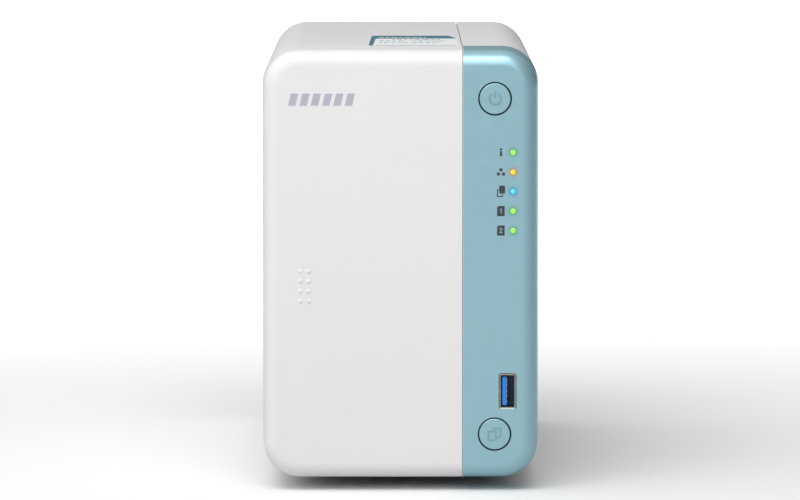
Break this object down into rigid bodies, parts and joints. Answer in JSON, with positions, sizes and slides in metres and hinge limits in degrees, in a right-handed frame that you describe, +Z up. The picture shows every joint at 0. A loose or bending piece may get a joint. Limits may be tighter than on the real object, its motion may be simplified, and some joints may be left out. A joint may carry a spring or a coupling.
{
  "type": "network attached storage",
  "caption": "Upright desktop network storage unit: rounded shell, removable front cover, front button strip, pull-out drive trays, rear fan and ports.",
  "frame": {"origin": "middle of the footprint, on the surface that the feet stand on", "axes": "+Z up, -Y the front face with the buttons, +X to the right of a person facing the front"},
  "size_m": [0.105, 0.226, 0.168],
  "materials": {
    "white_shell": "satin",
    "teal_shell": "satin",
    "teal_button": "satin",
    "clear_lens": "clear gloss",
    "port_steel": "plated",
    "blue_plastic": "semi gloss",
    "gold_contact": "polished",
    "black_plastic": "moulded",
    "circuit_board": "solder mask",
    "light_emitter": "diffuse",
    "foot_rubber": "matte",
    "label_paper": "printed",
    "zinc_steel": "zinc plated",
    "brass_spacer": "turned",
    "chip_lid": "matte",
    "raw_aluminium": "cast",
    "fan_plastic": "moulded",
    "black_steel": "black oxide",
    "cable_jacket": "soft",
    "ribbon_jacket": "soft",
    "rear_steel": "fine powder coat",
    "tray_plastic": "moulded"
  },
  "bodies": {
    "housing": {"left_casing": "white_shell", "right_casing": "white_shell", "front_panel": "teal_shell", "status_lenses": "clear_lens", "front_usb_shell": "port_steel", "front_usb_tongue": "blue_plastic", "front_usb_contacts": "gold_contact", "front_bezel": "black_plastic", "front_board": "circuit_board", "status_leds": "light_emitter", "button_switches": "black_plastic", "rubber_feet": "foot_rubber", "top_label": "label_paper", "drive_cage": "zinc_steel", "cage_divider": "zinc_steel", "bay_guides": "black_plastic", "backplane_board": "circuit_board", "drive_sockets": "black_plastic", "backplane_link": "black_plastic", "board_plate": "zinc_steel", "main_board": "circuit_board", "board_standoffs": "brass_spacer", "board_screws": "zinc_steel", "processor": "chip_lid", "heatsink": "raw_aluminium", "memory_modules": "circuit_board", "memory_sockets": "black_plastic", "coin_cell_holder": "black_plastic", "coin_cell": "port_steel", "fan_frame": "black_plastic", "fan_screws": "black_steel", "fan_cable": "cable_jacket", "front_cable": "ribbon_jacket", "rear_panel": "rear_steel", "rear_screws": "black_steel", "rear_usb_shells": "port_steel", "rear_usb_tongues": "blue_plastic", "lan_port": "port_steel", "video_port": "port_steel", "dc_inlet": "black_plastic", "reset_switch": "black_plastic"},
    "cover": {"front_cover": "white_shell"},
    "power_key": {"power_button": "teal_button"},
    "copy_key": {"copy_button": "teal_button"},
    "reset_key": {"reset_button": "black_plastic"},
    "fan": {"fan_rotor": "fan_plastic"},
    "tray_1": {"tray_1_frame": "tray_plastic", "tray_1_lever_pin": "zinc_steel", "tray_1_clips": "black_plastic", "drive_1_base": "raw_aluminium", "drive_1_lid": "zinc_steel", "drive_1_board": "circuit_board"},
    "lever_1": {"tray_1_lever": "tray_plastic"},
    "tray_2": {"tray_2_frame": "tray_plastic", "tray_2_lever_pin": "zinc_steel", "tray_2_clips": "black_plastic", "drive_2_base": "raw_aluminium", "drive_2_lid": "zinc_steel", "drive_2_board": "circuit_board"},
    "lever_2": {"tray_2_lever": "tray_plastic"}
  },
  "joints": [
    {"name": "cover_lift_off", "type": "slide", "parent": "housing", "child": "cover", "axis": [0, -1, 0], "range_m": [0, 0.3]},
    {"name": "power_press", "type": "slide", "parent": "housing", "child": "power_key", "axis": [0, 1, 0], "range_m": [0, 0.0008], "stiffness_N_per_m": 900, "springref_m": -0.0006},
    {"name": "copy_press", "type": "slide", "parent": "housing", "child": "copy_key", "axis": [0, 1, 0], "range_m": [0, 0.0008], "stiffness_N_per_m": 900, "springref_m": -0.0006},
    {"name": "reset_press", "type": "slide", "parent": "housing", "child": "reset_key", "axis": [0, -1, 0], "range_m": [0, 0.0006], "stiffness_N_per_m": 900, "springref_m": -0.0004},
    {"name": "fan_spin", "type": "hinge", "parent": "housing", "child": "fan", "pos_m": [-0.013, 0.095, 0.1], "axis": [0, 1, 0], "continuous": true},
    {"name": "tray_1_slide", "type": "slide", "parent": "housing", "child": "tray_1", "axis": [0, -1, 0], "range_m": [0, 0.165]},
    {"name": "lever_1_swing", "type": "hinge", "parent": "tray_1", "child": "lever_1", "pos_m": [-0.03062, -0.1026, 0.03415], "axis": [1, 0, 0], "range_deg": [0, 45]},
    {"name": "tray_2_slide", "type": "slide", "parent": "housing", "child": "tray_2", "axis": [0, -1, 0], "range_m": [0, 0.165]},
    {"name": "lever_2_swing", "type": "hinge", "parent": "tray_2", "child": "lever_2", "pos_m": [0.00413, -0.1026, 0.03415], "axis": [1, 0, 0], "range_deg": [0, 45]}
  ],
  "couplings": [
    {"joint": "tray_1_slide", "follows": "cover_lift_off", "ratio": 0.55},
    {"joint": "lever_1_swing", "follows": "cover_lift_off", "rad_per_m": 2.618},
    {"joint": "tray_2_slide", "follows": "cover_lift_off", "ratio": 0.55},
    {"joint": "lever_2_swing", "follows": "cover_lift_off", "rad_per_m": 2.618}
  ]
}
